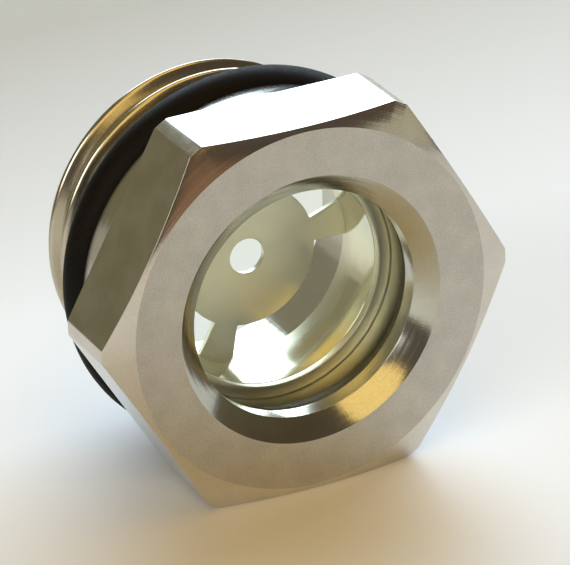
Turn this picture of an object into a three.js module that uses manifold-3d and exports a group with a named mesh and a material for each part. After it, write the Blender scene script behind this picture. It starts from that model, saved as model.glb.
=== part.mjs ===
// Hex-head sight glass with a G 1/2 pipe thread, as an assembly of its separate pieces.
// Millimetres, +Z up. The fitting's axis is Y: the front face looks towards -Y, and the threaded spigot ends
// at +Y. The hex head lies on one of its flats. The origin is under the middle of the fitting, on the ground.

import * as THREE from 'three';
import { mergeVertices } from 'three/addons/utils/BufferGeometryUtils.js';
import Module from 'manifold-3d';

const wasm = await Module();
wasm.setup();

// ---- driving dimensions; every "Y" is a distance behind the front face ----

const ACROSS_FLATS = 24;
const CORNER_RADIUS = 13.6; // the hex corners are turned down to this radius
const HEAD_LENGTH = 5.6;
const FACE_RADIUS = 11.7; // flat part of the front face, inside the corner chamfer
const CORNER_CHAMFER_SLOPE = 0.376; // chamfer depth for each millimetre of radius
const COLLAR_RADIUS = 11.7;
const COLLAR_LENGTH = 2;

const THREAD_RADIUS = 10.4775; // G 1/2: 20.955 mm major diameter
const THREAD_PITCH = 1.8143; // 14 threads to the inch
const THREAD_DEPTH = 1.162;
const THREAD_CREST_PHASE = 0.81; // pitches from the thread's start to the middle of a crest, at the top
const ROOT_END_SHARE = 0.14; // of a pitch: the flat at the thread's root ends here
const CREST_START_SHARE = 0.43; // the tooth is at its full radius between these two
const CREST_END_SHARE = 0.71;
const RELIEF_RADIUS = 9; // seat of the flange seal, between collar and thread
const RELIEF_LENGTH = 3;
const THREAD_END_CHAMFER = 0.6;
const TOTAL_LENGTH = 16.3;

const WINDOW_RADIUS = 7.4;
const WINDOW_BEVEL_WIDTH = 1.3;
const WINDOW_BEVEL_DEPTH = 1;
const LIP_BACK_Y = 2.1; // back of the lip that the glass stack is pushed against
const BORE_RADIUS = 8;
const BORE_CHAMFER = 0.35;

const GLASS_RADIUS = 7.85;
const GLASS_THICKNESS = 3.8;
const FRONT_GASKET_THICKNESS = 0.35;
const BACKING_RING_THICKNESS = 0.5;
const BACKING_RING_INNER_RADIUS = 7;

const REFLECTOR_FLOOR = 0.4;
const REFLECTOR_OUTER_RADIUS = 7.85;
const REFLECTOR_RIM_RADIUS = 7; // inside, at the glass end of its conical wall
const REFLECTOR_BASE_RADIUS = 6.8; // inside, where the wall meets the floor, and the outside of the slots
const REFLECTOR_DEPTH = 3.5; // from the rim to the front of the floor
const REFLECTOR_DISC_RADIUS = 4.63;
const REFLECTOR_HOLE_RADIUS = 1.15;
const REFLECTOR_ARMS = 3;
const REFLECTOR_ARM_ANGLE = THREE.MathUtils.degToRad(20);
const REFLECTOR_ARM_PHASE = THREE.MathUtils.degToRad(81); // first arm, clockwise from the top, from the front

const FLANGE_SEAL_SECTION = 2.9;
const FLANGE_SEAL_OUTER_RADIUS = 12.17;
const GLASS_SEAL_SECTION = 1;
const GLASS_SEAL_Y = 4.5;
const SNAP_RING_WIRE = 0.9;
const SNAP_RING_RADIUS = 7.9; // middle of the wire
const SNAP_RING_GAP = THREE.MathUtils.degToRad(24);

const CLEARANCE = 0.05; // between pieces that lie against each other
const SEGMENTS = 48;
const WIRE_SIDES = 10;
const FLANGE_SEAL_SIDES = 14;

// ---- places along the axis, worked out from the stack ----

const COLLAR_BACK_Y = HEAD_LENGTH + COLLAR_LENGTH;
const THREAD_START_Y = COLLAR_BACK_Y + RELIEF_LENGTH;
const FRONT_GASKET_Y = LIP_BACK_Y + CLEARANCE;
const GLASS_Y = FRONT_GASKET_Y + FRONT_GASKET_THICKNESS + CLEARANCE;
const BACKING_RING_Y = GLASS_Y + GLASS_THICKNESS + CLEARANCE;
const REFLECTOR_Y = BACKING_RING_Y + BACKING_RING_THICKNESS + CLEARANCE;
const REFLECTOR_BACK_Y = REFLECTOR_Y + REFLECTOR_DEPTH + REFLECTOR_FLOOR;
const SNAP_RING_Y = REFLECTOR_BACK_Y + CLEARANCE + SNAP_RING_WIRE / 2;
const FLANGE_SEAL_Y = COLLAR_BACK_Y + FLANGE_SEAL_SECTION / 2 + CLEARANCE;

// ---- materials ----

function material(color, metalness, roughness) {
  return new THREE.MeshStandardMaterial({ color, metalness, roughness });
}

const turnedMetal = material(0xb8b0a2, 1, 0.32);
const springSteel = material(0x8d8f8f, 1, 0.35);
const reflectorMetal = material(0xc9c6a6, 0.6, 0.35);
const blackRubber = material(0x16130f, 0, 0.5);
const gasketFibre = material(0x2c2b28, 0, 0.8);
const backingMetal = material(0xb3b094, 0.8, 0.45);
const glass = material(0xdfeadd, 0, 0.03);

// ---- shape helpers ----

// A solid of revolution about Y; corners are [radius, y] and close on themselves or run from axis to axis.
function turned(corners, segments = SEGMENTS) {
  const points = corners.map(([radius, y]) => new THREE.Vector2(radius, y));
  const touchesAxis = corners[0][0] === 0;
  if (!touchesAxis) {
    points.push(points[0].clone());
  }
  return new THREE.LatheGeometry(points, segments);
}

// A ring of rectangular section, with its front face at y.
function flatRing(innerRadius, outerRadius, y, thickness) {
  return turned([
    [innerRadius, y],
    [outerRadius, y],
    [outerRadius, y + thickness],
    [innerRadius, y + thickness],
  ]);
}

// A ring of round section about Y.
function roundRing(middleRadius, section, y, sides = WIRE_SIDES) {
  const corners = [];
  for (let i = 0; i < sides; i += 1) {
    const angle = (2 * Math.PI * (i + 0.5)) / sides;
    corners.push([middleRadius + (section / 2) * Math.cos(angle), y + (section / 2) * Math.sin(angle)]);
  }
  return turned(corners);
}

// A closed, merged geometry as a Manifold solid.
function toSolid(geometry) {
  const bare = geometry.clone();
  bare.deleteAttribute('normal');
  bare.deleteAttribute('uv');
  const merged = mergeVertices(bare, 1e-4);
  const mesh = new wasm.Mesh({
    numProp: 3,
    vertProperties: new Float32Array(merged.attributes.position.array),
    triVerts: new Uint32Array(merged.index.array),
  });
  return new wasm.Manifold(mesh);
}

function toGeometry(solid) {
  const mesh = solid.getMesh();
  const geometry = new THREE.BufferGeometry();
  geometry.setAttribute('position', new THREE.BufferAttribute(new Float32Array(mesh.vertProperties), 3));
  geometry.setIndex(new THREE.BufferAttribute(new Uint32Array(mesh.triVerts), 1));
  geometry.computeVertexNormals();
  return geometry;
}

// A flat outline in X (right) and Z (up), given as a Shape of x and z, pushed along +Y from startY.
function pushedAlongY(shape, startY, length, curveSegments = SEGMENTS) {
  const geometry = new THREE.ExtrudeGeometry(shape, { depth: length, bevelEnabled: false, curveSegments });
  geometry.rotateX(Math.PI / 2);
  geometry.translate(0, startY + length, 0);
  return geometry;
}

// ---- hex body ----

function hexagonShape(acrossFlats) {
  const radius = acrossFlats / Math.sqrt(3);
  const shape = new THREE.Shape();
  for (let i = 0; i < 6; i += 1) {
    const angle = (i * Math.PI) / 3;
    const x = radius * Math.cos(angle);
    const z = radius * Math.sin(angle);
    if (i === 0) {
      shape.moveTo(x, z);
    } else {
      shape.lineTo(x, z);
    }
  }
  shape.closePath();
  return shape;
}

// The hex head: a hexagonal bar inside a turned envelope that chamfers and rounds its corners.
function hexHead() {
  const chamferDepth = (CORNER_RADIUS - FACE_RADIUS) * CORNER_CHAMFER_SLOPE;
  const envelope = turned([
    [0, 0],
    [FACE_RADIUS, 0],
    [CORNER_RADIUS, chamferDepth],
    [CORNER_RADIUS, HEAD_LENGTH],
    [0, HEAD_LENGTH],
  ]);
  const margin = 1;
  const bar = pushedAlongY(hexagonShape(ACROSS_FLATS), -margin, HEAD_LENGTH + 2 * margin);
  return toSolid(bar).intersect(toSolid(envelope));
}

// A helical thread as a closed bar: rows of points follow the helix, so the last column of points is the
// first one again, one pitch further on. Each end is a fan about a point on the axis.
function threadedBar(startY, turns) {
  const rootRadius = THREAD_RADIUS - THREAD_DEPTH;
  const toothRow = [
    [rootRadius, 0],
    [rootRadius, ROOT_END_SHARE],
    [THREAD_RADIUS, CREST_START_SHARE],
    [THREAD_RADIUS, CREST_END_SHARE],
  ];
  const rowsPerPitch = toothRow.length;
  const rows = rowsPerPitch * turns + 1;
  const positions = [];
  const rowAt = (row) => {
    const [radius, share] = toothRow[row % rowsPerPitch];
    return [radius, startY + (Math.floor(row / rowsPerPitch) + share) * THREAD_PITCH];
  };
  for (let column = 0; column < SEGMENTS; column += 1) {
    const angle = (2 * Math.PI * column) / SEGMENTS;
    const advance = (THREAD_PITCH * column) / SEGMENTS;
    for (let row = 0; row < rows + rowsPerPitch; row += 1) {
      const [radius, y] = rowAt(row);
      positions.push(radius * Math.sin(angle), y + advance, radius * Math.cos(angle));
    }
  }
  const stride = rows + rowsPerPitch;
  const vertex = (column, row) => (column === SEGMENTS ? row + rowsPerPitch : column * stride + row);
  const triangles = [];
  for (let column = 0; column < SEGMENTS; column += 1) {
    for (let row = 0; row < rows - 1; row += 1) {
      const a = vertex(column, row);
      const b = vertex(column + 1, row);
      const c = vertex(column + 1, row + 1);
      const d = vertex(column, row + 1);
      triangles.push(a, b, c, a, c, d);
    }
  }
  const addEnd = (loop, flip) => {
    const centre = positions.length / 3;
    const middleY = loop.reduce((sum, index) => sum + positions[3 * index + 1], 0) / loop.length;
    positions.push(0, middleY, 0);
    loop.forEach((index, i) => {
      const next = loop[(i + 1) % loop.length];
      triangles.push(...(flip ? [centre, next, index] : [centre, index, next]));
    });
  };
  const columns = [...Array(SEGMENTS).keys()];
  const seamSteps = [...Array(rowsPerPitch).keys()];
  const seam = (fromRow) => seamSteps.map((step) => vertex(0, fromRow + rowsPerPitch - step));
  addEnd([...columns.map((column) => vertex(column, 0)), ...seam(0)], true);
  addEnd([...columns.map((column) => vertex(column, rows - 1)), ...seam(rows - 1)], false);
  const geometry = new THREE.BufferGeometry();
  geometry.setAttribute('position', new THREE.Float32BufferAttribute(positions, 3));
  geometry.setIndex(triangles);
  return geometry;
}

// The thread, trimmed flat at its start and chamfered at both ends.
function threadedSpigot() {
  const margin = 0.5;
  const rootRadius = THREAD_RADIUS - THREAD_DEPTH;
  const envelope = turned([
    [0, THREAD_START_Y],
    [rootRadius, THREAD_START_Y],
    [THREAD_RADIUS + margin, THREAD_START_Y + THREAD_DEPTH + margin],
    [THREAD_RADIUS + margin, TOTAL_LENGTH - THREAD_END_CHAMFER - margin],
    [THREAD_RADIUS - THREAD_END_CHAMFER, TOTAL_LENGTH],
    [0, TOTAL_LENGTH],
  ]);
  const crestShare = (CREST_START_SHARE + CREST_END_SHARE) / 2;
  const startY = THREAD_START_Y + (THREAD_CREST_PHASE - crestShare - 2) * THREAD_PITCH;
  const turns = Math.ceil((TOTAL_LENGTH + THREAD_PITCH - startY) / THREAD_PITCH) + 1;
  return toSolid(threadedBar(startY, turns)).intersect(toSolid(envelope));
}

function collarAndRelief() {
  const overlap = 0.5;
  return turned([
    [0, HEAD_LENGTH - overlap],
    [COLLAR_RADIUS - overlap, HEAD_LENGTH - overlap],
    [COLLAR_RADIUS - overlap, HEAD_LENGTH],
    [COLLAR_RADIUS, HEAD_LENGTH],
    [COLLAR_RADIUS, COLLAR_BACK_Y],
    [RELIEF_RADIUS, COLLAR_BACK_Y],
    [RELIEF_RADIUS, THREAD_START_Y + overlap],
    [0, THREAD_START_Y + overlap],
  ]);
}

// All that is bored out of the body: window, glass seat, seal groove, snap ring groove and back chamfer.
function boredSpace() {
  const margin = 1;
  const sealGrooveRadius = GLASS_RADIUS + GLASS_SEAL_SECTION + CLEARANCE;
  const sealGrooveHalf = GLASS_SEAL_SECTION / 2 + 2 * CLEARANCE;
  const snapGrooveRadius = SNAP_RING_RADIUS + SNAP_RING_WIRE / 2 + CLEARANCE;
  const snapGrooveHalf = SNAP_RING_WIRE / 2 + CLEARANCE;
  return turned([
    [0, -margin],
    [WINDOW_RADIUS + WINDOW_BEVEL_WIDTH * (1 + margin / WINDOW_BEVEL_DEPTH), -margin],
    [WINDOW_RADIUS, WINDOW_BEVEL_DEPTH],
    [WINDOW_RADIUS, LIP_BACK_Y],
    [BORE_RADIUS, LIP_BACK_Y],
    [BORE_RADIUS, GLASS_SEAL_Y - sealGrooveHalf],
    [sealGrooveRadius, GLASS_SEAL_Y - sealGrooveHalf],
    [sealGrooveRadius, GLASS_SEAL_Y + sealGrooveHalf],
    [BORE_RADIUS, GLASS_SEAL_Y + sealGrooveHalf],
    [BORE_RADIUS, SNAP_RING_Y - snapGrooveHalf],
    [snapGrooveRadius, SNAP_RING_Y - snapGrooveHalf],
    [snapGrooveRadius, SNAP_RING_Y + snapGrooveHalf],
    [BORE_RADIUS, SNAP_RING_Y + snapGrooveHalf],
    [BORE_RADIUS, TOTAL_LENGTH - BORE_CHAMFER],
    [BORE_RADIUS + BORE_CHAMFER + margin, TOTAL_LENGTH + margin],
    [0, TOTAL_LENGTH + margin],
  ]);
}

function hexBody() {
  const blank = hexHead().add(toSolid(collarAndRelief())).add(threadedSpigot());
  return toGeometry(blank.subtract(toSolid(boredSpace())));
}

// ---- window ----

function sightGlass() {
  const edge = 0.2;
  return turned([
    [0, GLASS_Y],
    [GLASS_RADIUS - edge, GLASS_Y],
    [GLASS_RADIUS, GLASS_Y + edge],
    [GLASS_RADIUS, GLASS_Y + GLASS_THICKNESS - edge],
    [GLASS_RADIUS - edge, GLASS_Y + GLASS_THICKNESS],
    [0, GLASS_Y + GLASS_THICKNESS],
  ]);
}

// ---- reflector ----

// One opening of the reflector's floor: a ring sector between two arms.
function slotShape(startAngle, endAngle) {
  const shape = new THREE.Shape();
  shape.absarc(0, 0, REFLECTOR_BASE_RADIUS, startAngle, endAngle, false);
  shape.absarc(0, 0, REFLECTOR_DISC_RADIUS, endAngle, startAngle, true);
  shape.closePath();
  return shape;
}

// A turned cup with a conical wall, open to the front, with a hole in the middle of its thin floor and slots
// between the floor's three arms.
function reflector() {
  const floorFront = REFLECTOR_Y + REFLECTOR_DEPTH;
  const cup = toSolid(
    turned([
      [0, floorFront],
      [REFLECTOR_BASE_RADIUS, floorFront],
      [REFLECTOR_RIM_RADIUS, REFLECTOR_Y],
      [REFLECTOR_OUTER_RADIUS, REFLECTOR_Y],
      [REFLECTOR_OUTER_RADIUS, REFLECTOR_BACK_Y],
      [0, REFLECTOR_BACK_Y],
    ])
  );
  const margin = 0.5;
  const hole = new THREE.Shape();
  hole.absarc(0, 0, REFLECTOR_HOLE_RADIUS, 0, 2 * Math.PI, false);
  const holeSegments = 16;
  const cuts = [pushedAlongY(hole, floorFront - margin, REFLECTOR_FLOOR + 2 * margin, holeSegments)];
  const step = (2 * Math.PI) / REFLECTOR_ARMS;
  for (let i = 0; i < REFLECTOR_ARMS; i += 1) {
    // Shape angles run anticlockwise from +X, and arm angles clockwise from +Z.
    const arm = Math.PI / 2 - REFLECTOR_ARM_PHASE + i * step;
    const slot = slotShape(arm + REFLECTOR_ARM_ANGLE / 2, arm + step - REFLECTOR_ARM_ANGLE / 2);
    cuts.push(pushedAlongY(slot, floorFront - margin, REFLECTOR_FLOOR + 2 * margin, holeSegments));
  }
  return toGeometry(cuts.reduce((solid, cut) => solid.subtract(toSolid(cut)), cup));
}

// ---- snap ring: a split ring of round wire ----

class RingArc extends THREE.Curve {
  constructor(radius, startAngle, endAngle) {
    super();
    Object.assign(this, { radius, startAngle, endAngle });
  }

  getPoint(t, target = new THREE.Vector3()) {
    const angle = this.startAngle + t * (this.endAngle - this.startAngle);
    return target.set(this.radius * Math.sin(angle), 0, this.radius * Math.cos(angle));
  }
}

function snapRing() {
  const wire = new THREE.Shape();
  wire.absarc(0, 0, SNAP_RING_WIRE / 2, 0, 2 * Math.PI, false);
  const gapMiddle = Math.PI;
  const path = new RingArc(
    SNAP_RING_RADIUS,
    gapMiddle + SNAP_RING_GAP / 2,
    gapMiddle + 2 * Math.PI - SNAP_RING_GAP / 2
  );
  const geometry = new THREE.ExtrudeGeometry(wire, {
    steps: SEGMENTS - 4,
    curveSegments: WIRE_SIDES,
    extrudePath: path,
    bevelEnabled: false,
  });
  geometry.translate(0, SNAP_RING_Y, 0);
  return geometry;
}

// ---- assembly ----

const fitting = new THREE.Group();
fitting.position.set(0, -TOTAL_LENGTH / 2, ACROSS_FLATS / 2);

function add(name, geometry, itsMaterial) {
  const mesh = new THREE.Mesh(geometry, itsMaterial);
  mesh.name = name;
  fitting.add(mesh);
  return mesh;
}

add('hex_body', hexBody(), turnedMetal);
// The flange seal is a little wider than the flats and loose on its seat, so the ground pushes it up.
const flangeSealMiddle = FLANGE_SEAL_OUTER_RADIUS - FLANGE_SEAL_SECTION / 2;
const flangeSeal = add(
  'flange_seal_ring',
  roundRing(flangeSealMiddle, FLANGE_SEAL_SECTION, FLANGE_SEAL_Y, FLANGE_SEAL_SIDES),
  blackRubber
);
flangeSeal.position.z = FLANGE_SEAL_OUTER_RADIUS - ACROSS_FLATS / 2;
add(
  'front_gasket',
  flatRing(WINDOW_RADIUS + CLEARANCE, BORE_RADIUS - 2 * CLEARANCE, FRONT_GASKET_Y, FRONT_GASKET_THICKNESS),
  gasketFibre
);
add('sight_glass_disc', sightGlass(), glass);
add(
  'glass_seal_ring',
  roundRing(GLASS_RADIUS + GLASS_SEAL_SECTION / 2, GLASS_SEAL_SECTION - CLEARANCE, GLASS_SEAL_Y),
  blackRubber
);
add(
  'backing_ring',
  flatRing(BACKING_RING_INNER_RADIUS, BORE_RADIUS - 2 * CLEARANCE, BACKING_RING_Y, BACKING_RING_THICKNESS),
  backingMetal
);
add('reflector', reflector(), reflectorMetal);
add('snap_ring', snapRing(), springSteel);

const part = new THREE.Group();
part.add(fitting);

export default part;
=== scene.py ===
"""A hex-head sight glass with a G 1/2 pipe thread: fine surfaces, materials, floor, light and camera.

Every surface is worked out in millimetres as (radius, depth): the distance from the fitting's axis, and the
distance behind its front face. Angles round the axis start at the top and run clockwise seen from the front.
"""

import math

import bpy
from mathutils import Matrix, Vector


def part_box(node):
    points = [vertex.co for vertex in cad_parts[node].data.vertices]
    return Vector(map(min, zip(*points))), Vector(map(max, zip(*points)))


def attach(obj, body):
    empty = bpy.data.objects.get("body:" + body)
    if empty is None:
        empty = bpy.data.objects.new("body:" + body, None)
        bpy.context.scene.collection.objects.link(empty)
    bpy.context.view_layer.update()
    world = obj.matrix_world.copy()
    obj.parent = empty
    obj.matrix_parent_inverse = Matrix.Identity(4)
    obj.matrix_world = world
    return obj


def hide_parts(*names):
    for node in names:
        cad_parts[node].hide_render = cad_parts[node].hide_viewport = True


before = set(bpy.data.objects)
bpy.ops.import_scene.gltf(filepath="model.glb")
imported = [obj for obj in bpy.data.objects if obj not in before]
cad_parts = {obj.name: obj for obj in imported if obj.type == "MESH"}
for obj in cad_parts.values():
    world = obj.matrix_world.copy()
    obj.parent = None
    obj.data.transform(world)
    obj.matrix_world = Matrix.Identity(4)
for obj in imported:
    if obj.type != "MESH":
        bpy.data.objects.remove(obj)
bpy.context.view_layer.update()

MM = 0.001
FULL_TURN = 2 * math.pi

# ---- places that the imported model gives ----

BODY_LOW, BODY_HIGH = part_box("hex_body")
FRONT_Y = BODY_LOW.y / MM
AXIS_Z = (BODY_LOW.z + BODY_HIGH.z) / 2 / MM
TOTAL_LENGTH = (BODY_HIGH.y - BODY_LOW.y) / MM
FLAT_RADIUS = (BODY_HIGH.z - BODY_LOW.z) / 2 / MM
CORNER_RADIUS = BODY_HIGH.x / MM
NODE_BOXES = {node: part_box(node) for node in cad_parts}


def depths(node):
    """Depths of a CAD node's front and back."""
    low, high = NODE_BOXES[node]
    return low.y / MM - FRONT_Y, high.y / MM - FRONT_Y


def outer_radius(node):
    """Outer radius of a round CAD node."""
    low, high = NODE_BOXES[node]
    return (high.x - low.x) / 2 / MM


# ---- hex body ----

FACE_RADIUS = 11.7
CORNER_CHAMFER_SLOPE = 0.376
HEAD_LENGTH = 5.6
COLLAR_RADIUS = 11.7
COLLAR_BACK = 7.6
RELIEF_RADIUS = 9.0
THREAD_START = 10.6
THREAD_RADIUS = 10.4775
THREAD_PITCH = 1.8143
THREAD_DEPTH = 0.640327 * THREAD_PITCH
THREAD_ROUNDING = 0.137329 * THREAD_PITCH
THREAD_HALF_ANGLE = math.radians(27.5)
THREAD_CREST_PHASE = 0.81
THREAD_END_CHAMFER = 0.6
WINDOW_RADIUS = 7.4
WINDOW_BEVEL_WIDTH = 1.3
WINDOW_BEVEL_DEPTH = 1.0
LIP_BACK = 2.1
BORE_RADIUS = 8.0
BORE_CHAMFER = 0.35
GROOVE_PLAY = 0.05
SPIGOT_ROW_STEP = 0.05

EDGE_BREAK = 0.025
TURNED_EDGE_BREAK = 0.1
RING_EDGE_BREAK = 0.05
GLASS_EDGE_BREAK = 0.04
REFLECTOR_EDGE_BREAK = 0.05

# ---- reflector ----

REFLECTOR_FLOOR = 0.4
REFLECTOR_RIM_RADIUS = 7.0
REFLECTOR_BASE_RADIUS = 6.8
REFLECTOR_DISC_RADIUS = 4.63
REFLECTOR_HOLE_RADIUS = 1.15
REFLECTOR_ARMS = 3
REFLECTOR_ARM_ANGLE = math.radians(20)
REFLECTOR_ARM_PHASE = math.radians(81)

# ---- seals and rings ----

FLANGE_SEAL_SECTION = 2.9
FLANGE_SEAL_OUTER_RADIUS = 12.17
GLASS_SEAL_SECTION = 0.95
GASKET_INNER_RADIUS = WINDOW_RADIUS + 0.05
BACKING_RING_INNER_RADIUS = 7.0
SNAP_RING_WIRE = 0.9
SNAP_RING_GAP = math.radians(24)

# ---- how finely the surfaces are divided ----

RING_COLUMNS = 240
BODY_COLUMNS = 360
SEAL_SIDES = 48
WIRE_SIDES = 20
WIRE_BEND_STEPS = 160
WIRE_CAP_STEPS = 5
ARM_COLUMNS = 14
SLOT_COLUMNS = 70
DISC_ROWS = 8
ARM_ROWS = 4
GLASS_FACE_RINGS = (0.55, 0.85)  # shares of the glass's radius
SHARP_ANGLE = math.radians(35)
REFLECTOR_BROKEN_ANGLE = math.radians(50)

# ---- mesh building ----


def place(radius, depth, angle, lift=0.0):
    """The point at that radius, depth and angle, in metres."""
    return Vector(
        (
            radius * math.sin(angle) * MM,
            (FRONT_Y + depth) * MM,
            (AXIS_Z + lift + radius * math.cos(angle)) * MM,
        )
    )


def add_object(name, vertices, faces):
    """A smooth mesh object in the scene."""
    mesh = bpy.data.meshes.new(name)
    mesh.from_pydata(vertices, [], faces)
    mesh.validate()
    mesh.shade_smooth()
    made = bpy.data.objects.new(name, mesh)
    bpy.context.scene.collection.objects.link(made)
    return made


def finished(piece, node):
    """Gives a piece its sharp edges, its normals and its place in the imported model."""
    piece.data.set_sharp_from_angle(angle=SHARP_ANGLE)
    normals = piece.modifiers.new("Weighted normals", "WEIGHTED_NORMAL")
    normals.weight = 100
    normals.keep_sharp = True
    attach(piece, "root")
    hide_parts(node)
    return piece


def evenly(count, start=0.0, end=FULL_TURN):
    """That many evenly spaced values from start up to, but not including, end."""
    return [start + (end - start) * i / count for i in range(count)]


def arc(corner, before, after, radius, steps=4):
    """Points of the arc that rounds a corner of a profile between its two neighbours."""
    to_before = (before - corner).normalized()
    to_after = (after - corner).normalized()
    half = to_before.angle(to_after) / 2
    longest_reach = 0.45 * min((before - corner).length, (after - corner).length)
    reach = min(radius / math.tan(half), longest_reach)
    radius = reach * math.tan(half)
    centre = corner + (to_before + to_after).normalized() * radius / math.sin(half)
    first = (corner + to_before * reach - centre).normalized()
    last = (corner + to_after * reach - centre).normalized()
    return [centre + first.slerp(last, i / steps) * radius for i in range(steps + 1)]


def rounded(corners):
    """A closed profile from (radius, depth, edge radius) corners, as (radius, depth) points."""
    points = [Vector(corner[:2]) for corner in corners]
    profile = []
    for i, point in enumerate(points):
        edge = corners[i][2]
        before = points[i - 1]
        after = points[(i + 1) % len(points)]
        if edge:
            profile.extend(arc(point, before, after, edge))
        else:
            profile.append(point)
    return profile


def quads_between(here, there, rows):
    """Faces between two neighbouring columns of points, each a closed loop of that many rows. here and there
    are the columns' first points."""
    faces = []
    for row in range(rows):
        after = (row + 1) % rows
        faces.append((here + row, there + row, there + after, here + after))
    return faces


def revolve(name, columns, profile_at, lift=0.0):
    """A ring-shaped solid with a closed (radius, depth) profile, profile_at(angle), at every angle. With the
    radius running right and the depth running up, the profile goes round the metal counterclockwise."""
    vertices = []
    for angle in columns:
        profile = profile_at(angle)
        vertices.extend(place(radius, depth, angle, lift) for radius, depth in profile)
    rows = len(profile)
    faces = []
    for column in range(len(columns)):
        after = (column + 1) % len(columns)
        faces += quads_between(column * rows, after * rows, rows)
    return add_object(name, vertices, faces)


# ---- body ----


def hex_radius(angle):
    """The hex head's outline, with its turned-down corners and slightly softened corner edges."""
    sector = math.radians(60)
    off_middle = (angle + sector / 2) % sector - sector / 2
    flat = FLAT_RADIUS / math.cos(off_middle)
    overlap = max(EDGE_BREAK - abs(flat - CORNER_RADIUS), 0)
    return min(flat, CORNER_RADIUS) - overlap**2 / EDGE_BREAK / 4


def hex_columns():
    """Angles round the hex head, closer together at the edges of its corners."""
    half_corner = math.radians(30) - math.acos(FLAT_RADIUS / CORNER_RADIUS)
    near_edge = [math.radians(0.15 * step) for step in range(-3, 4)]
    angles = set(evenly(BODY_COLUMNS))
    for corner in range(6):
        middle = math.radians(30 + 60 * corner)
        for edge in (middle - half_corner, middle + half_corner):
            angles.update((edge + offset) % FULL_TURN for offset in near_edge)
    return sorted(angles)


def thread_form(distance):
    """Radius of the pipe thread at that distance along the axis from the middle of a crest."""
    root = THREAD_RADIUS - THREAD_DEPTH
    half_pitch = THREAD_PITCH / 2
    arc_reach = THREAD_ROUNDING * math.cos(THREAD_HALF_ANGLE)
    if distance < arc_reach:
        return THREAD_RADIUS - THREAD_ROUNDING + math.sqrt(THREAD_ROUNDING**2 - distance**2)
    if half_pitch - distance < arc_reach:
        return root + THREAD_ROUNDING - math.sqrt(THREAD_ROUNDING**2 - (half_pitch - distance) ** 2)
    middle = (THREAD_RADIUS + root) / 2
    return middle + (half_pitch / 2 - distance) / math.tan(THREAD_HALF_ANGLE)


def spigot_radius(angle, depth):
    """Outer radius of the spigot there, with the helical thread, its run-in and its chamfered end."""
    turns = (depth - THREAD_START) / THREAD_PITCH - THREAD_CREST_PHASE - angle / FULL_TURN
    crest_distance = abs((turns + 0.5) % 1 - 0.5) * THREAD_PITCH
    run_in = THREAD_RADIUS - THREAD_DEPTH + depth - THREAD_START
    end_chamfer = THREAD_RADIUS - THREAD_END_CHAMFER + TOTAL_LENGTH - depth
    return min(thread_form(crest_distance), run_in, end_chamfer)


def body_profile(angle):
    """The body's section at that angle: the lip and the outside, then the spigot, then the bore."""
    rim = hex_radius(angle)
    chamfer_back = (rim - FACE_RADIUS) * CORNER_CHAMFER_SLOPE
    bevel_radius = WINDOW_RADIUS + WINDOW_BEVEL_WIDTH
    outside = rounded(
        [
            (WINDOW_RADIUS, LIP_BACK, 0),
            (WINDOW_RADIUS, WINDOW_BEVEL_DEPTH, EDGE_BREAK),
            (bevel_radius, 0, EDGE_BREAK),
            (FACE_RADIUS, 0, EDGE_BREAK),
            (rim, chamfer_back, EDGE_BREAK),
            (rim, HEAD_LENGTH, EDGE_BREAK),
            (COLLAR_RADIUS, HEAD_LENGTH, TURNED_EDGE_BREAK),
            (COLLAR_RADIUS, COLLAR_BACK, TURNED_EDGE_BREAK),
            (RELIEF_RADIUS, COLLAR_BACK, TURNED_EDGE_BREAK),
            (RELIEF_RADIUS, THREAD_START, 0),
        ]
    )
    thread_rows = round((TOTAL_LENGTH - THREAD_START) / SPIGOT_ROW_STEP)
    spigot = []
    for row in range(1, thread_rows):
        depth = THREAD_START + (TOTAL_LENGTH - THREAD_START) * row / thread_rows
        spigot.append(Vector((spigot_radius(angle, depth), depth)))
    end_radius = spigot_radius(angle, TOTAL_LENGTH)
    seal_front, seal_back = depths("glass_seal_ring")
    seal_groove = outer_radius("glass_seal_ring") + GROOVE_PLAY
    ring_front, ring_back = depths("snap_ring")
    ring_groove = outer_radius("snap_ring") + GROOVE_PLAY
    inside = rounded(
        [
            (end_radius, TOTAL_LENGTH, EDGE_BREAK),
            (BORE_RADIUS + BORE_CHAMFER, TOTAL_LENGTH, EDGE_BREAK),
            (BORE_RADIUS, TOTAL_LENGTH - BORE_CHAMFER, EDGE_BREAK),
            (BORE_RADIUS, ring_back + GROOVE_PLAY, EDGE_BREAK),
            (ring_groove, ring_back + GROOVE_PLAY, 0),
            (ring_groove, ring_front - GROOVE_PLAY, 0),
            (BORE_RADIUS, ring_front - GROOVE_PLAY, EDGE_BREAK),
            (BORE_RADIUS, seal_back + GROOVE_PLAY, 0),
            (seal_groove, seal_back + GROOVE_PLAY, 0),
            (seal_groove, seal_front - GROOVE_PLAY, 0),
            (BORE_RADIUS, seal_front - GROOVE_PLAY, 0),
            (BORE_RADIUS, LIP_BACK, 0),
        ]
    )
    return outside + spigot + inside


def build_body():
    """The hex head, the collar under it and the threaded spigot, turned from one bar."""
    made = revolve("body", hex_columns(), body_profile)
    return finished(made, "hex_body")


# ---- glass, seals and rings ----


def build_flat_ring(name, node, inner_radius):
    """A ring of rectangular section that fills its CAD node's box."""
    front, back = depths(node)
    outer = outer_radius(node)
    profile = rounded(
        [
            (inner_radius, front, RING_EDGE_BREAK),
            (outer, front, RING_EDGE_BREAK),
            (outer, back, RING_EDGE_BREAK),
            (inner_radius, back, RING_EDGE_BREAK),
        ]
    )
    ring = revolve(name, evenly(RING_COLUMNS), lambda angle: profile)
    return finished(ring, node)


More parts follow.
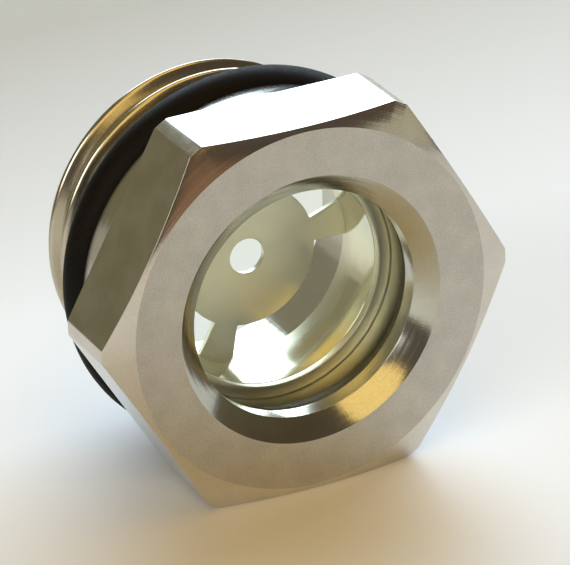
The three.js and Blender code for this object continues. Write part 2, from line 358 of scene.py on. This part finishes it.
def build_glass():
    """A disc with flat faces and a rim whose edges are broken."""
    front, back = depths("sight_glass_disc")
    radius = outer_radius("sight_glass_disc")
    face_radii = [share * radius for share in GLASS_FACE_RINGS] + [radius - GLASS_EDGE_BREAK]
    profile = [(face_radius, front) for face_radius in face_radii]
    profile += [(radius, front + GLASS_EDGE_BREAK), (radius, back - GLASS_EDGE_BREAK)]
    profile += [(face_radius, back) for face_radius in reversed(face_radii)]
    rows = len(profile)
    columns = evenly(RING_COLUMNS)
    vertices = [place(*point, angle) for angle in columns for point in profile]
    faces = []
    for column in range(len(columns)):
        after = (column + 1) % len(columns)
        faces += quads_between(column * rows, after * rows, rows)[:-1]
    front_ring = [column * rows for column in range(len(columns))]
    back_ring = [start + rows - 1 for start in front_ring]
    faces.append(tuple(reversed(front_ring)))
    faces.append(tuple(back_ring))
    glass = add_object("window_glass", vertices, faces)
    return finished(glass, "sight_glass_disc")


def round_section_ring(name, middle_radius, section, depth, lift=0.0):
    """A ring of round section, such as an O-ring, whose axis is lift millimetres above the fitting's."""
    half = section / 2
    profile = []
    for turn in evenly(SEAL_SIDES):
        profile.append((middle_radius + half * math.cos(turn), depth + half * math.sin(turn)))
    return revolve(name, evenly(RING_COLUMNS), lambda angle: profile, lift)


def build_flange_seal():
    """The O-ring round the spigot, loose enough for the floor to lift it, so its gap is widest at the top."""
    front, back = depths("flange_seal_ring")
    middle = FLANGE_SEAL_OUTER_RADIUS - FLANGE_SEAL_SECTION / 2
    lift = FLANGE_SEAL_OUTER_RADIUS - FLAT_RADIUS
    ring = round_section_ring("flange_seal", middle, FLANGE_SEAL_SECTION, (front + back) / 2, lift)
    return finished(ring, "flange_seal_ring")


def build_glass_seal():
    """The small O-ring round the glass."""
    front, back = depths("glass_seal_ring")
    middle = outer_radius("glass_seal_ring") - GLASS_SEAL_SECTION / 2
    ring = round_section_ring("glass_seal", middle, GLASS_SEAL_SECTION, (front + back) / 2)
    return finished(ring, "glass_seal_ring")


def build_snap_ring():
    """A wire ring with a gap at the bottom and rounded wire ends."""
    front, back = depths("snap_ring")
    depth = (front + back) / 2
    wire_radius = SNAP_RING_WIRE / 2
    middle = outer_radius("snap_ring") - wire_radius
    cap_angle = wire_radius / middle
    start = math.pi + SNAP_RING_GAP / 2
    end = math.pi + FULL_TURN - SNAP_RING_GAP / 2
    cap = [(1 - math.cos(turn), math.sin(turn)) for turn in evenly(WIRE_CAP_STEPS, end=math.pi / 2)[1:]]
    bend = evenly(WIRE_BEND_STEPS, start + cap_angle, end - cap_angle)
    stations = [(start + cap_angle * along, wire_radius * size) for along, size in cap]
    stations += [(angle, wire_radius) for angle in bend]
    stations += [(end - cap_angle * along, wire_radius * size) for along, size in reversed(cap)]
    vertices = []
    for angle, size in stations:
        for turn in evenly(WIRE_SIDES):
            vertices.append(place(middle + size * math.cos(turn), depth + size * math.sin(turn), angle))
    faces = []
    for station in range(len(stations) - 1):
        faces += quads_between(station * WIRE_SIDES, (station + 1) * WIRE_SIDES, WIRE_SIDES)
    faces.append(tuple(range(WIRE_SIDES)))
    faces.append(tuple(range(len(vertices) - 1, len(vertices) - 1 - WIRE_SIDES, -1)))
    ring = add_object("snap_ring_wire", vertices, faces)
    return finished(ring, "snap_ring")


# ---- reflector cup ----


def reflector_columns():
    """Angles round the reflector, each with whether the step to the next one crosses a slot."""
    half_arm = REFLECTOR_ARM_ANGLE / 2
    columns = []
    for arm in range(REFLECTOR_ARMS):
        middle = REFLECTOR_ARM_PHASE + FULL_TURN * arm / REFLECTOR_ARMS
        next_middle = middle + FULL_TURN / REFLECTOR_ARMS
        arm_end = middle + half_arm
        slot_end = next_middle - half_arm
        columns += [(angle, False) for angle in evenly(ARM_COLUMNS, middle - half_arm, arm_end)]
        columns += [(angle, True) for angle in evenly(SLOT_COLUMNS, arm_end, slot_end)]
    return columns


def build_reflector():
    """A turned cup with a conical wall, a hole in its floor and slots between the floor's three arms."""
    rim, back = depths("reflector")
    floor_front = back - REFLECTOR_FLOOR
    outer = outer_radius("reflector")
    disc_radii = evenly(DISC_ROWS, REFLECTOR_HOLE_RADIUS, REFLECTOR_DISC_RADIUS)
    arm_radii = evenly(ARM_ROWS, REFLECTOR_DISC_RADIUS, REFLECTOR_BASE_RADIUS)
    floor_radii = disc_radii + arm_radii + [REFLECTOR_BASE_RADIUS]
    wall_base = Vector((REFLECTOR_BASE_RADIUS, floor_front))
    wall_rim = Vector((REFLECTOR_RIM_RADIUS, rim))
    profile = [(radius, floor_front) for radius in floor_radii]
    profile += [tuple(wall_base.lerp(wall_rim, share)) for share in (0.25, 0.5, 0.75, 1)]
    profile += [(outer, rim), (outer, back)]
    profile += [(radius, back) for radius in reversed(floor_radii)]
    rows = len(profile)
    columns = reflector_columns()
    vertices = [place(*point, angle) for angle, _ in columns for point in profile]

    # A slot leaves out the floor's front and back faces between the disc and the wall, and has sides instead:
    # along the disc, along the wall, and along the arm at each of its ends.
    front_start = len(disc_radii)
    front_end = len(floor_radii) - 1
    back_start = rows - 1 - front_start
    back_end = rows - 1 - front_end
    left_out = [*range(front_start, front_end), *range(back_end, back_start)]
    faces = []
    for column, (_, over_slot) in enumerate(columns):
        here = column * rows
        there = (column + 1) % len(columns) * rows
        for row, face in enumerate(quads_between(here, there, rows)):
            if not (over_slot and row in left_out):
                faces.append(face)
        if over_slot:
            faces.append((here + front_start, there + front_start, there + back_start, here + back_start))
            faces.append((there + front_end, here + front_end, here + back_end, there + back_end))
        if over_slot != columns[column - 1][1]:
            for row in range(front_start, front_end):
                arm_side = (here + row, here + row + 1, here + rows - 2 - row, here + rows - 1 - row)
                faces.append(arm_side[::-1] if over_slot else arm_side)

    cup = add_object("reflector_cup", vertices, faces)
    broken = cup.modifiers.new("Broken edges", "BEVEL")
    broken.width = REFLECTOR_EDGE_BREAK * MM
    broken.segments = 2
    broken.limit_method = "ANGLE"
    broken.angle_limit = REFLECTOR_BROKEN_ANGLE
    return finished(cup, "reflector")


body = build_body()
flange_seal = build_flange_seal()
glass_seal = build_glass_seal()
window_glass = build_glass()
front_gasket = build_flat_ring("front_gasket_ring", "front_gasket", GASKET_INNER_RADIUS)
backing_ring = build_flat_ring(
    "glass_backing_ring", "backing_ring", BACKING_RING_INNER_RADIUS
)
reflector = build_reflector()
snap_ring = build_snap_ring()

# ---- colours ----

METAL = (0.68, 0.65, 0.59)
# Darker copies of METAL, as painted shade on the front face and on the window's bevel.
FACE_PAINTED_SHADE_METAL = (0.575, 0.56, 0.515)
BEVEL_PAINTED_SHADE_METAL = (0.56, 0.575, 0.52)
THREAD_METAL = (0.55, 0.52, 0.42)
PLATING = (0.95, 0.93, 0.74)
SPRING_STEEL = (0.35, 0.34, 0.32)
CLEAR_GLASS = (0.95, 0.98, 0.92)
SHADED_RIM = (0.1, 0.09, 0.055)
BLACK_RUBBER = (0.006, 0.005, 0.004)
DARK_RUBBER = (0.02, 0.02, 0.015)
GASKET_FIBRE = (0.09, 0.085, 0.055)

# ---- finishes ----

GRAIN_SHARE = 0.65
CHATTER_MARKS = 60.0  # noise cells in a radian round the axis
WAVES = 2.2  # noise cells in a millimetre
FINE_CUT = {"roughness": 0.14, "rings": 7.0, "ring_depth": 0.0016, "waviness": 0.009, "mottle": 0.08}
REFLECTOR_FLOOR_ROUGHNESS = 0.4
REFLECTOR_WALL_ROUGHNESS = 0.11
GLASS_IOR = 1.5
RUBBER_SHEEN = 0.08

# ---- shader helpers ----


def new_material(name, color, metallic, roughness):
    """A material with its node tree and its surface shader."""
    made = bpy.data.materials.new(name)
    made.use_nodes = True
    shader = made.node_tree.nodes["Principled BSDF"]
    shader.inputs["Base Color"].default_value = (*color, 1)
    shader.inputs["Metallic"].default_value = metallic
    shader.inputs["Roughness"].default_value = roughness
    return made, made.node_tree, shader


def fill(tree, sockets, values):
    """Gives each socket its value, which is either a number or another node's output."""
    for socket, value in zip(sockets, values):
        if isinstance(value, (int, float)):
            socket.default_value = value
        else:
            tree.links.new(value, socket)


def math_node(tree, operation, *values):
    node = tree.nodes.new("ShaderNodeMath")
    node.operation = operation
    fill(tree, node.inputs, values)
    return node.outputs[0]


def combine(tree, x, y, z):
    node = tree.nodes.new("ShaderNodeCombineXYZ")
    fill(tree, node.inputs, (x, y, z))
    return node.outputs[0]


def parts(tree, vector):
    """The vector's x, y and z."""
    node = tree.nodes.new("ShaderNodeSeparateXYZ")
    tree.links.new(vector, node.inputs["Vector"])
    return node.outputs


def axis_coordinates(tree):
    """Millimetres from the front face's centre, the distance from the axis, and the depth along it."""
    coordinates = tree.nodes.new("ShaderNodeTexCoord")
    shift = tree.nodes.new("ShaderNodeMapping")
    shift.inputs["Location"].default_value = (0, -FRONT_Y, -AXIS_Z)
    shift.inputs["Scale"].default_value = (1 / MM, 1 / MM, 1 / MM)
    tree.links.new(coordinates.outputs["Object"], shift.inputs["Vector"])
    position = shift.outputs["Vector"]
    x, depth, z = parts(tree, position)
    x_squared = math_node(tree, "MULTIPLY", x, x)
    z_squared = math_node(tree, "MULTIPLY", z, z)
    radius = math_node(tree, "SQRT", math_node(tree, "ADD", x_squared, z_squared))
    return position, radius, depth


def scaled_pair(tree, first, second, first_scale, second_scale):
    """A vector of two values, each with its own scale, as the place for a noise."""
    x = math_node(tree, "MULTIPLY", first, first_scale)
    y = math_node(tree, "MULTIPLY", second, second_scale)
    return combine(tree, x, y, 0)


def noise(tree, vector, scale=1.0, detail=2.0, roughness=0.5):
    node = tree.nodes.new("ShaderNodeTexNoise")
    node.inputs["Scale"].default_value = scale
    node.inputs["Detail"].default_value = detail
    node.inputs["Roughness"].default_value = roughness
    tree.links.new(vector, node.inputs["Vector"])
    return node.outputs["Fac"]


def ramp(tree, factor, stops):
    """A colour ramp from (position, grey or colour) stops."""
    node = tree.nodes.new("ShaderNodeValToRGB")
    elements = node.color_ramp.elements
    while len(elements) < len(stops):
        elements.new(0.5)
    for element, (position, value) in zip(elements, stops):
        element.position = position
        color = value if isinstance(value, tuple) else (value, value, value)
        element.color = (*color, 1)
    tree.links.new(factor, node.inputs["Fac"])
    return node.outputs["Color"]


def vary(tree, shader, socket, factor, stops):
    """Makes one of the surface's values follow a ramp of that factor."""
    tree.links.new(ramp(tree, factor, stops), shader.inputs[socket])


def bump(tree, shader, height, distance, normal=None):
    """Raises the surface by up to that many millimetres, on top of an earlier bump if there is one."""
    node = tree.nodes.new("ShaderNodeBump")
    node.inputs["Distance"].default_value = distance * MM
    tree.links.new(height, node.inputs["Height"])
    if normal is not None:
        tree.links.new(normal, node.inputs["Normal"])
    tree.links.new(node.outputs["Normal"], shader.inputs["Normal"])
    return node.outputs["Normal"]


def shaded(color, share):
    """The colour made darker, with a share under 1, or lighter."""
    return tuple(min(channel * share, 1) for channel in color)


# ---- materials ----


def turned_material(name, color, roughness, rings, ring_depth, waviness, mottle):
    """Metal with fine rings and slower waves from the lathe tool, chatter marks across them, and a mottled
    grain. rings is the number of noise cells in a millimetre, ring_depth and waviness are heights in
    millimetres, and mottle is how far the colour strays."""
    made, tree, shader = new_material(name, color, 1.0, roughness)
    position, radius, depth = axis_coordinates(tree)
    x, _, z = parts(tree, position)
    angle = math_node(tree, "ARCTAN2", x, z)

    blotches = noise(tree, position, scale=0.6, detail=4.0, roughness=0.6)
    grain = noise(tree, position, scale=9.0, detail=3.0, roughness=0.65)
    blotch_share = math_node(tree, "MULTIPLY", blotches, 1 - GRAIN_SHARE)
    grain_share = math_node(tree, "MULTIPLY", grain, GRAIN_SHARE)
    cover = math_node(tree, "ADD", blotch_share, grain_share)
    shades = [(0.35, shaded(color, 1 - mottle)), (0.65, shaded(color, 1 + mottle))]
    vary(tree, shader, "Base Color", cover, shades)

    across_rings = scaled_pair(tree, radius, depth, rings, rings)
    across_waves = scaled_pair(tree, radius, depth, WAVES, WAVES)
    round_axis = scaled_pair(tree, angle, radius, CHATTER_MARKS, 0.8)
    grooves = noise(tree, across_rings, detail=3.0, roughness=0.6)
    waves = noise(tree, across_waves)
    chatter = noise(tree, round_axis, detail=1.0)
    vary(tree, shader, "Roughness", grooves, [(0.3, roughness * 0.85), (0.7, roughness * 1.15)])
    ring_normal = bump(tree, shader, grooves, ring_depth)
    chatter_normal = bump(tree, shader, chatter, ring_depth * 0.8, ring_normal)
    wave_normal = bump(tree, shader, waves, waviness, chatter_normal)
    bump(tree, shader, grain, ring_depth * 0.7, wave_normal)
    return made


def drawn_material(name, color, roughness):
    """Metal with faint lines along the fitting, from the die that the hexagon bar was drawn through."""
    made, tree, shader = new_material(name, color, 1.0, roughness)
    position, _, _ = axis_coordinates(tree)
    stretch = tree.nodes.new("ShaderNodeMapping")
    stretch.inputs["Scale"].default_value = (3.0, 0.12, 3.0)
    tree.links.new(position, stretch.inputs["Vector"])
    lines = noise(tree, stretch.outputs["Vector"], detail=4.0, roughness=0.6)
    blotches = noise(tree, position, scale=0.5, detail=3.0)
    vary(tree, shader, "Base Color", blotches, [(0.35, shaded(color, 0.92)), (0.65, color)])
    vary(tree, shader, "Roughness", blotches, [(0.3, roughness * 0.8), (0.7, roughness * 1.25)])
    bump(tree, shader, lines, 0.003)
    return made


def rubber_material(name, color, roughness):
    """Dull rubber or fibre with a little pale dust on it."""
    made, tree, shader = new_material(name, color, 0.0, roughness)
    shader.inputs["Specular IOR Level"].default_value = RUBBER_SHEEN
    position, _, _ = axis_coordinates(tree)
    dust = noise(tree, position, scale=3.0, detail=5.0, roughness=0.7)
    vary(tree, shader, "Base Color", dust, [(0.4, color), (0.75, shaded(color, 1.8))])
    vary(tree, shader, "Roughness", dust, [(0.3, roughness * 0.85), (0.7, roughness * 1.2)])
    bump(tree, shader, noise(tree, position, scale=14.0, detail=3.0), 0.004)
    return made


def reflector_material():
    """Pale olive plating, satin on the flat floor and bright on the conical wall round it."""
    made, tree, shader = new_material("reflector_metal", PLATING, 1.0, REFLECTOR_FLOOR_ROUGHNESS)
    position, radius, depth = axis_coordinates(tree)
    clouds = noise(tree, position, scale=0.5, detail=3.0)
    vary(tree, shader, "Base Color", clouds, [(0.35, shaded(PLATING, 0.94)), (0.65, PLATING)])
    outer = outer_radius("reflector")
    outward = math_node(tree, "DIVIDE", radius, outer)
    wall_start = REFLECTOR_BASE_RADIUS / outer
    finishes = [(wall_start, REFLECTOR_FLOOR_ROUGHNESS), (wall_start + 0.01, REFLECTOR_WALL_ROUGHNESS)]
    vary(tree, shader, "Roughness", outward, finishes)
    turning_marks = noise(tree, scaled_pair(tree, radius, depth, 4.0, 2.0))
    bump(tree, shader, turning_marks, 0.0006)
    return made


def glass_material():
    """Clear glass with a faint green tint and a little dried-on haze."""
    made, tree, shader = new_material("window_glass", CLEAR_GLASS, 0.0, 0.02)
    shader.inputs["Transmission Weight"].default_value = 1.0
    shader.inputs["IOR"].default_value = GLASS_IOR
    position, _, _ = axis_coordinates(tree)
    haze = noise(tree, position, scale=0.35, detail=5.0, roughness=0.65)
    vary(tree, shader, "Base Color", haze, [(0.4, CLEAR_GLASS), (0.75, shaded(CLEAR_GLASS, 0.97))])
    vary(tree, shader, "Roughness", haze, [(0.45, 0.01), (0.8, 0.06)])
    return made


def ground_rim_material():
    """Ground glass with painted shade, darkest at the front where it sits in the lip's shadow."""
    made, tree, shader = new_material("ground_rim_painted_shade", SHADED_RIM, 1.0, 0.4)
    position, _, depth = axis_coordinates(tree)
    front, back = depths("sight_glass_disc")
    along = tree.nodes.new("ShaderNodeMapRange")
    along.inputs["From Min"].default_value = front
    along.inputs["From Max"].default_value = back
    tree.links.new(depth, along.inputs["Value"])
    clouds = math_node(tree, "MULTIPLY", noise(tree, position, scale=1.5, detail=3.0), 0.12)
    shade = math_node(tree, "ADD", along.outputs["Result"], clouds)
    # Painted shade: dark at the lip's end of the rim, pale towards the back.
    vary(tree, shader, "Base Color", shade, [(0.4, SHADED_RIM), (1.0, PLATING)])
    bump(tree, shader, noise(tree, position, scale=20.0), 0.004)
    return made


def from_axis(polygon):
    """A face's distance from the fitting's axis."""
    return math.hypot(polygon.center.x, polygon.center.z - AXIS_Z * MM) / MM


def paint_body():
    """Gives each zone of the body the finish that its cutting left, and the front face and the window's
    bevel darker copies of the metal's colour, as painted shade.
    """
    cut_metal = turned_material("fine_turned", METAL, **FINE_CUT)
    # The window's bevel and the front face get darker copies of the metal's colour, as painted shade.
    shaded_bevel_metal = turned_material("window_bevel_painted_shade", BEVEL_PAINTED_SHADE_METAL, **FINE_CUT)
    shaded_face_metal = turned_material(
        "turned_face_painted_shade", FACE_PAINTED_SHADE_METAL, roughness=0.4, rings=14.0, ring_depth=0.004, waviness=0.006, mottle=0.16
    )
    flat_metal = drawn_material("drawn_flats", METAL, 0.2)
    thread_metal = turned_material(
        "thread_metal", THREAD_METAL, roughness=0.2, rings=8.0, ring_depth=0.0015, waviness=0.002, mottle=0.1
    )
    materials = [cut_metal, shaded_bevel_metal, shaded_face_metal, flat_metal, thread_metal]
    for material in materials:
        body.data.materials.append(material)
    for polygon in body.data.polygons:
        radius = from_axis(polygon)
        depth = polygon.center.y / MM - FRONT_Y
        faces_front = -polygon.normal.y
        if depth > THREAD_START and radius > BORE_RADIUS + BORE_CHAMFER:
            zone = thread_metal
        elif faces_front > 0.999 and radius < FACE_RADIUS:
            zone = shaded_face_metal
        elif depth < WINDOW_BEVEL_DEPTH and radius < FACE_RADIUS:
            zone = shaded_bevel_metal
        elif abs(faces_front) < 0.3 and radius > FLAT_RADIUS * 0.99:
            zone = flat_metal
        else:
            zone = cut_metal
        polygon.material_index = materials.index(zone)


def paint_glass():
    """The disc's faces are polished, and its rim is ground."""
    for material in (glass_material(), ground_rim_material()):
        window_glass.data.materials.append(material)
    rim_start = outer_radius("sight_glass_disc") * 0.97
    for polygon in window_glass.data.polygons:
        if from_axis(polygon) > rim_start and abs(polygon.normal.y) < 0.9:
            polygon.material_index = 1


def paint_small_parts():
    """Each of the seals and rings, and the reflector, is of one material."""
    flange_seal.data.materials.append(rubber_material("seal_rubber", BLACK_RUBBER, 0.55))
    glass_seal.data.materials.append(rubber_material("glass_seal_rubber", DARK_RUBBER, 0.5))
    front_gasket.data.materials.append(rubber_material("gasket_fibre", GASKET_FIBRE, 0.7))
    backing_metal = turned_material(
        "backing_metal", PLATING, roughness=0.4, rings=3.0, ring_depth=0.001, waviness=0.001, mottle=0.03
    )
    backing_ring.data.materials.append(backing_metal)
    reflector.data.materials.append(reflector_material())
    spring_steel = turned_material(
        "spring_steel", SPRING_STEEL, roughness=0.35, rings=6.0, ring_depth=0.002, waviness=0.002, mottle=0.08
    )
    snap_ring.data.materials.append(spring_steel)


paint_body()
paint_glass()
paint_small_parts()

# ---- floor ----

FLOOR_SIZE = 3.0
NEAR_PAPER = (0.83, 0.85, 0.9)
# Painted shade: the paper darkens to this colour away behind the fitting, where less light falls.
FAR_PAPER_PAINTED_SHADE = (0.42, 0.395, 0.34)
PAINTED_SHADE_FADE_END = 0.075
# Painted pool of warm light, for what the fitting's bright underside throws on the paper in front of it.
GLOW_CENTRE = (-0.002, -0.014, 0)
GLOW_RADIUS = 0.015
GLOW_COLOR = (0.88, 0.78, 0.58)


def paper_material():
    """Pale paper, with painted shade that darkens it away behind the fitting and a painted pool of warm
    light just in front of it.
    """
    made, tree, shader = new_material("floor_paper", (0.8, 0.8, 0.8), 0.0, 0.6)
    coordinates = tree.nodes.new("ShaderNodeTexCoord")
    position = coordinates.outputs["Object"]
    _, away, _ = parts(tree, position)
    # Painted shade, darker away behind the fitting.
    painted_shade_fade = math_node(tree, "MULTIPLY", away, 1 / PAINTED_SHADE_FADE_END)
    paper = ramp(tree, painted_shade_fade, [(0.3, NEAR_PAPER), (0.9, FAR_PAPER_PAINTED_SHADE)])
    # Painted pool of warm light on the paper just in front of the fitting.
    from_glow = tree.nodes.new("ShaderNodeVectorMath")
    from_glow.operation = "DISTANCE"
    from_glow.inputs[1].default_value = GLOW_CENTRE
    tree.links.new(position, from_glow.inputs[0])
    glow_share = math_node(tree, "MULTIPLY", from_glow.outputs["Value"], 1 / GLOW_RADIUS)
    glow = ramp(tree, glow_share, [(0.0, GLOW_COLOR), (1.0, 1.0)])
    glow.node.color_ramp.interpolation = "EASE"
    with_painted_glow = tree.nodes.new("ShaderNodeMix")
    with_painted_glow.data_type = "RGBA"
    with_painted_glow.blend_type = "MULTIPLY"
    with_painted_glow.inputs["Factor"].default_value = 1
    tree.links.new(paper, with_painted_glow.inputs["A"])
    tree.links.new(glow, with_painted_glow.inputs["B"])
    tree.links.new(with_painted_glow.outputs["Result"], shader.inputs["Base Color"])
    return made


bpy.ops.mesh.primitive_plane_add(size=FLOOR_SIZE)
floor = bpy.context.object
floor.name = "floor"
floor.data.materials.append(paper_material())

# ---- light ----

# How bright the room is, from straight in front of the fitting (0) to straight behind it (1).
ROOM_SHADES = [
    (0.0, (0.3, 0.165, 0.09)),
    (0.009, (0.26, 0.15, 0.085)),
    (0.02, (0.07, 0.055, 0.04)),
    (0.05, (0.10, 0.08, 0.065)),
    (0.2, (0.10, 0.07, 0.04)),
    (0.7, (0.20, 0.18, 0.105)),
]


def area_light(name, direction, distance, size, power, color):
    """A soft rectangular light in that direction from the object, facing it."""
    data = bpy.data.lights.new(name, "AREA")
    data.shape = "RECTANGLE"
    data.size, data.size_y = size
    data.energy = power
    data.color = color
    light = bpy.data.objects.new(name, data)
    bpy.context.scene.collection.objects.link(light)
    towards = Vector(direction).normalized()
    light.location = towards * distance + Vector((0, 0, AXIS_Z * MM))
    light.rotation_euler = (-towards).to_track_quat("-Z", "Y").to_euler()


def light_room():
    """A dim, warm room, as the fitting's bright metal reflects it."""
    world = bpy.data.worlds.new("room")
    bpy.context.scene.world = world
    world.use_nodes = True
    room = world.node_tree
    coordinates = room.nodes.new("ShaderNodeTexCoord")
    _, backwards, _ = parts(room, coordinates.outputs["Generated"])
    front_to_back = math_node(room, "MULTIPLY_ADD", backwards, 0.5, 0.5)
    room.links.new(ramp(room, front_to_back, ROOM_SHADES), room.nodes["Background"].inputs["Color"])


area_light("window", (0.6, 0.76, 0.52), 0.9, (1.3, 0.5), 12.5, (0.71, 0.86, 1))
area_light("lamp", (-0.217, -0.76, 0.614), 0.6, (0.34, 0.34), 0.5, (1, 0.68, 0.22))
area_light("ceiling", (0.1, -0.2, 1), 0.8, (0.6, 0.6), 1.5, (1, 0.62, 0.16))
area_light("left_wall", (-0.8, -0.42, 0.45), 0.7, (0.45, 0.35), 1.7, (1, 0.96, 0.88))
area_light("doorway", (0.74, -0.66, 0.09), 0.6, (0.22, 0.1), 0.03, (1, 0.98, 0.75))
light_room()

# ---- camera ----

FACE_CENTRE = Vector((0, FRONT_Y, AXIS_Z)) * MM
CAMERA_POSITION = FACE_CENTRE + Vector((-114.92, -236.99, 128.65)) * MM
CAMERA_TARGET = FACE_CENTRE + Vector((-1.22, 1.11, 1.72)) * MM
CAMERA_ROLL = math.radians(-2.6)
FOCAL_LENGTH = 308.7
SENSOR_WIDTH = 36


def place_camera():
    """A long lens, looking down at the fitting's face from its left."""
    data = bpy.data.cameras.new("camera")
    data.lens = FOCAL_LENGTH
    data.sensor_width = SENSOR_WIDTH
    camera = bpy.data.objects.new("camera", data)
    bpy.context.scene.collection.objects.link(camera)
    aim = (CAMERA_TARGET - CAMERA_POSITION).to_track_quat("-Z", "Y").to_matrix().to_4x4()
    camera.matrix_world = Matrix.Translation(CAMERA_POSITION) @ aim @ Matrix.Rotation(CAMERA_ROLL, 4, "Z")
    bpy.context.scene.camera = camera


place_camera()
bpy.context.scene.view_settings.view_transform = "Standard"
